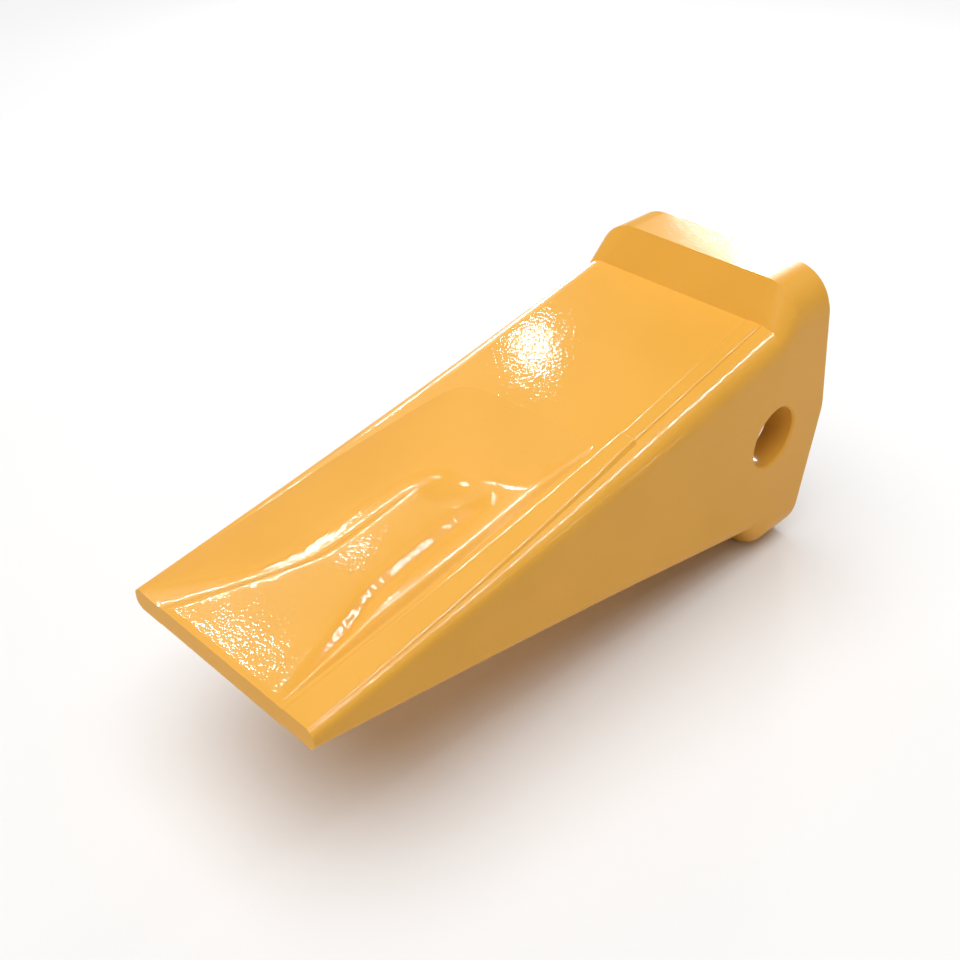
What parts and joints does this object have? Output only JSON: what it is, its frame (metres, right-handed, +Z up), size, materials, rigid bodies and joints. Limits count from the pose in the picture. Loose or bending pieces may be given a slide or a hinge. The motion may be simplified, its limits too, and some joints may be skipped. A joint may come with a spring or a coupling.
{
  "type": "excavator bucket tooth",
  "caption": "Side-pinned wedge-shaped digging tooth point with a hollow rear socket, scooped faces, a cross pin and a split retainer ring.",
  "frame": {"origin": "centre of the adapter socket's mouth, in the plane of the collar's rear edge, where the tooth's two middle planes cross", "axes": "+X forward to the digging edge, +Y across the tooth towards the side where the pin is driven home, +Z up"},
  "size_m": [0.2702, 0.104, 0.1266],
  "materials": {
    "cast_steel_paint": "glossy orange-yellow enamel over a fine cast skin",
    "pin_steel": "turned and hardened alloy steel with a dark heat-treated bloom",
    "spring_steel": "oil-blackened spring steel"
  },
  "bodies": {
    "point": {"tooth_point": "cast_steel_paint"},
    "pin": {"retaining_pin": "pin_steel"},
    "ring": {"retainer_ring": "spring_steel"}
  },
  "joints": [
    {"name": "pin_drive", "type": "slide", "parent": "point", "child": "pin", "axis": [0, 1, 0], "range_m": [-0.054, 0.01]},
    {"name": "ring_turn", "type": "hinge", "parent": "pin", "child": "ring", "pos_m": [0.0266, 0.021, 0], "axis": [0, 1, 0], "continuous": true}
  ]
}
